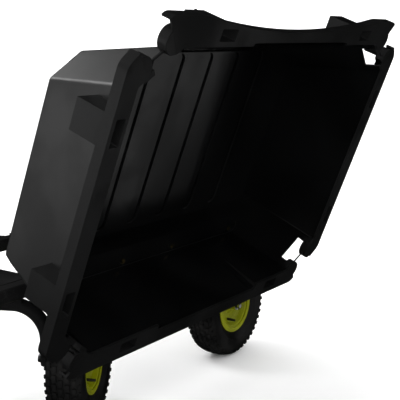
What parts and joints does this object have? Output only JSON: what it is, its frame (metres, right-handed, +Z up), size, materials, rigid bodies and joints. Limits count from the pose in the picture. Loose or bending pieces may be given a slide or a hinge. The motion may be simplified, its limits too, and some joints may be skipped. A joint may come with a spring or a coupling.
{
  "type": "tow behind cart",
  "caption": "Tow-behind garden cart: moulded black tub tipped to one side, steered front axle on a turntable, hinged drawbar with a pin hitch, block-tread tyres on yellow-green rims.",
  "frame": {"origin": "on the ground, under the middle of the whole cart as it stands at rest, with the tub tipped, the front axle steered and the drawbar lowered", "axes": "+X the way the cart is towed, +Y the side it tips to, +Z up"},
  "size_m": [1.8784, 1.1904, 1.0826],
  "materials": {
    "tub_plastic": "moulded black polyethylene, fine-grained outside and smoother inside",
    "black_paint": "satin black powder coat",
    "wheel_rim": "glossy yellow-green paint",
    "tyre": "matt rubber with block tread",
    "rubber": "matt black rubber",
    "black_nylon": "matt black nylon",
    "zinc_steel": "bright zinc plate",
    "yellow_zinc": "yellow passivated zinc"
  },
  "bodies": {
    "chassis": {"left_rail": "black_paint", "right_rail": "black_paint", "rail_end_caps": "black_nylon", "front_crossmember": "black_paint", "centre_crossmember": "black_paint", "rear_crossmember": "black_paint", "rear_axle_arch": "black_paint", "rear_bolster": "black_paint", "upper_turntable_plate": "black_paint", "kingpin": "zinc_steel", "kingpin_nut": "zinc_steel", "rear_spindles": "zinc_steel", "rear_spacers": "zinc_steel", "rear_split_pins": "zinc_steel", "hinge_ears": "black_paint", "hinge_rod": "zinc_steel", "latch_striker": "black_paint", "dump_stops": "rubber", "tub_rests": "rubber"},
    "front_axle": {"front_axle_arch": "black_paint", "front_bolster": "black_paint", "lower_turntable_plate": "black_paint", "front_spindles": "zinc_steel", "front_spacers": "zinc_steel", "front_split_pins": "zinc_steel", "drawbar_bracket": "black_paint", "drawbar_bolt": "zinc_steel"},
    "drawbar": {"drawbar": "black_paint", "drawbar_eye": "black_paint", "hitch_clevis": "black_paint"},
    "hitch_pin": {"hitch_pin": "zinc_steel"},
    "tub": {"tub_shell": "tub_plastic", "hinge_strap": "black_paint", "channel_bolts": "yellow_zinc", "corner_rods": "black_paint", "latch_bracket": "black_paint", "latch_pivot": "zinc_steel"},
    "latch": {"latch_lever": "black_paint"},
    "front_left_wheel": {"front_left_tyre": "tyre", "front_left_rim": "wheel_rim", "front_left_hub_bushes": "black_nylon", "front_left_valve": "rubber"},
    "front_right_wheel": {"front_right_tyre": "tyre", "front_right_rim": "wheel_rim", "front_right_hub_bushes": "black_nylon", "front_right_valve": "rubber"},
    "rear_left_wheel": {"rear_left_tyre": "tyre", "rear_left_rim": "wheel_rim", "rear_left_hub_bushes": "black_nylon", "rear_left_valve": "rubber"},
    "rear_right_wheel": {"rear_right_tyre": "tyre", "rear_right_rim": "wheel_rim", "rear_right_hub_bushes": "black_nylon", "rear_right_valve": "rubber"}
  },
  "joints": [
    {"name": "tub_tip", "type": "hinge", "parent": "chassis", "child": "tub", "pos_m": [-0.30522, 0.09799, 0.443], "axis": [1, 0, 0], "range_deg": [0, 111.3]},
    {"name": "steering", "type": "hinge", "parent": "chassis", "child": "front_axle", "pos_m": [0.08978, -0.20501, 0.3685], "axis": [0, 0, 1], "range_deg": [-65, 15]},
    {"name": "drawbar_pitch", "type": "hinge", "parent": "front_axle", "child": "drawbar", "pos_m": [0.16681, -0.16909, 0.34375], "axis": [0.4226, -0.9063, 0], "range_deg": [0, 40]},
    {"name": "hitch_pin_lift", "type": "slide", "parent": "drawbar", "child": "hitch_pin", "axis": [0.265, 0.1236, 0.9563], "range_m": [0, 0.12]},
    {"name": "latch_swing", "type": "hinge", "parent": "tub", "child": "latch", "pos_m": [-0.30522, 0.30492, 1.00953], "axis": [1, 0, 0], "range_deg": [0, 50]},
    {"name": "front_left_spin", "type": "hinge", "parent": "front_axle", "child": "front_left_wheel", "pos_m": [-0.04419, 0.08229, 0.165], "axis": [-0.4226, 0.9063, 0], "continuous": true},
    {"name": "front_right_spin", "type": "hinge", "parent": "front_axle", "child": "front_right_wheel", "pos_m": [0.22375, -0.49231, 0.165], "axis": [-0.4226, 0.9063, 0], "continuous": true},
    {"name": "rear_left_spin", "type": "hinge", "parent": "chassis", "child": "rear_left_wheel", "pos_m": [-0.70022, 0.11199, 0.165], "axis": [0, 1, 0], "continuous": true},
    {"name": "rear_right_spin", "type": "hinge", "parent": "chassis", "child": "rear_right_wheel", "pos_m": [-0.70022, -0.52201, 0.165], "axis": [0, 1, 0], "continuous": true}
  ]
}
